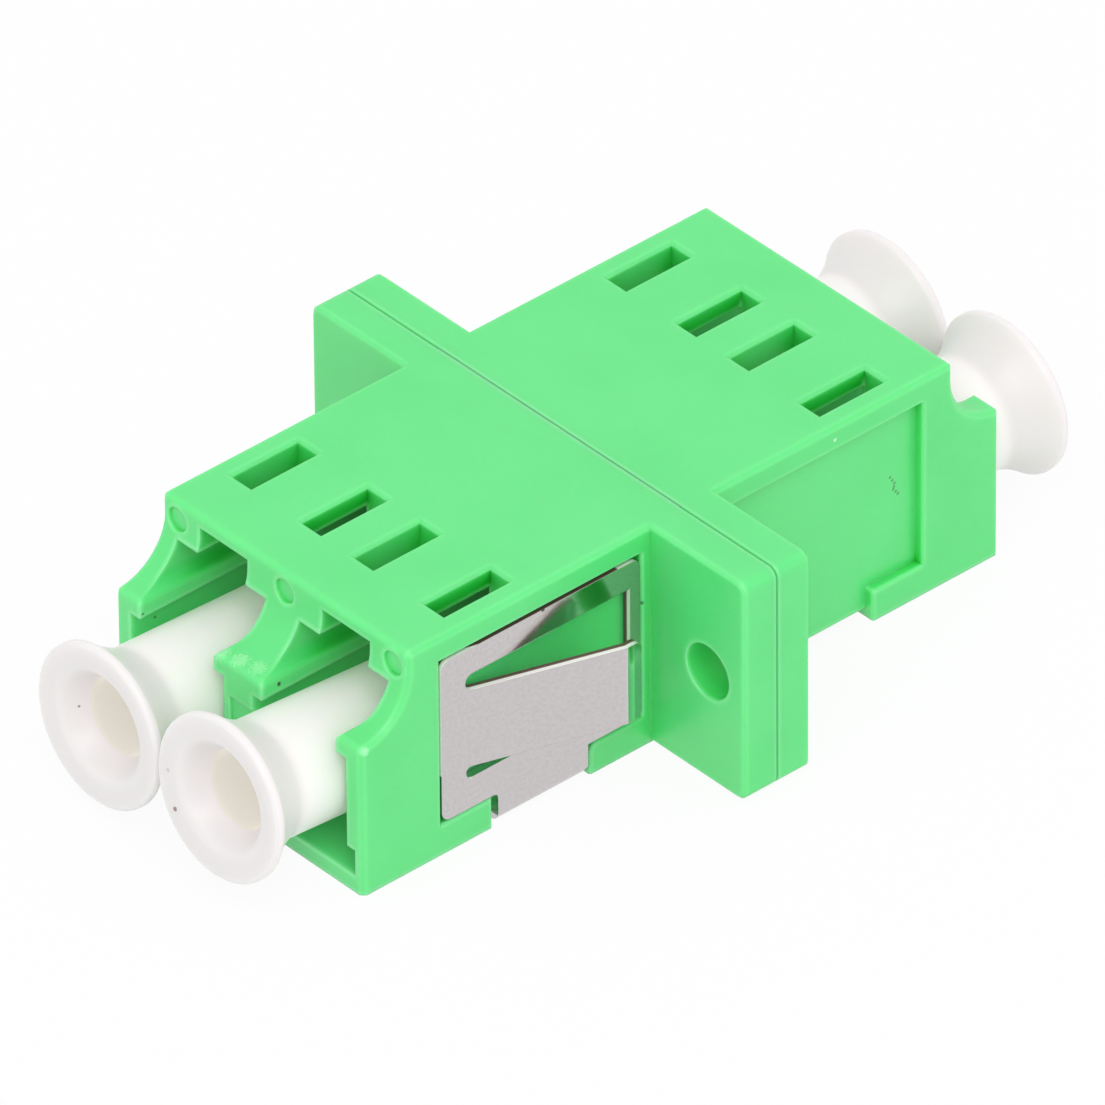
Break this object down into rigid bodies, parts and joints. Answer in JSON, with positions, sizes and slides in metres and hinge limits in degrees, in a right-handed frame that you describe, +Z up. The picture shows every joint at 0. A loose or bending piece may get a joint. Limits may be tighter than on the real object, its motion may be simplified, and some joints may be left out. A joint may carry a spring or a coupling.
{
  "type": "duplex fibre optic adapter",
  "caption": "Panel-mount duplex fibre adapter: welded green housing with flange and ports at both ends, folded spring clip, split sleeves and white trumpet dust caps.",
  "frame": {"origin": "under the middle of the flange's parting plane, on the bottom face", "axes": "+X across the two ports, +Y along the fibres from the clip end to the plain end, +Z up"},
  "size_m": [0.0222, 0.0367, 0.0091],
  "materials": {
    "housing": "satin moulded",
    "clip": "satin rolled sheet",
    "sleeve": "ground",
    "cap": "soft milky"
  },
  "bodies": {
    "adapter": {"front_housing": "housing", "rear_housing": "housing", "panel_clip": "clip", "split_sleeve_left": "sleeve", "split_sleeve_right": "sleeve"},
    "cap_front_left": {"dust_cap_front_left": "cap"},
    "cap_front_right": {"dust_cap_front_right": "cap"},
    "cap_rear_left": {"dust_cap_rear_left": "cap"},
    "cap_rear_right": {"dust_cap_rear_right": "cap"}
  },
  "joints": [
    {"name": "pull_cap_front_left", "type": "slide", "parent": "adapter", "child": "cap_front_left", "axis": [0, -1, 0], "range_m": [0, 0.016]},
    {"name": "pull_cap_front_right", "type": "slide", "parent": "adapter", "child": "cap_front_right", "axis": [0, -1, 0], "range_m": [0, 0.016]},
    {"name": "pull_cap_rear_left", "type": "slide", "parent": "adapter", "child": "cap_rear_left", "axis": [0, 1, 0], "range_m": [0, 0.016]},
    {"name": "pull_cap_rear_right", "type": "slide", "parent": "adapter", "child": "cap_rear_right", "axis": [0, 1, 0], "range_m": [0, 0.016]}
  ]
}
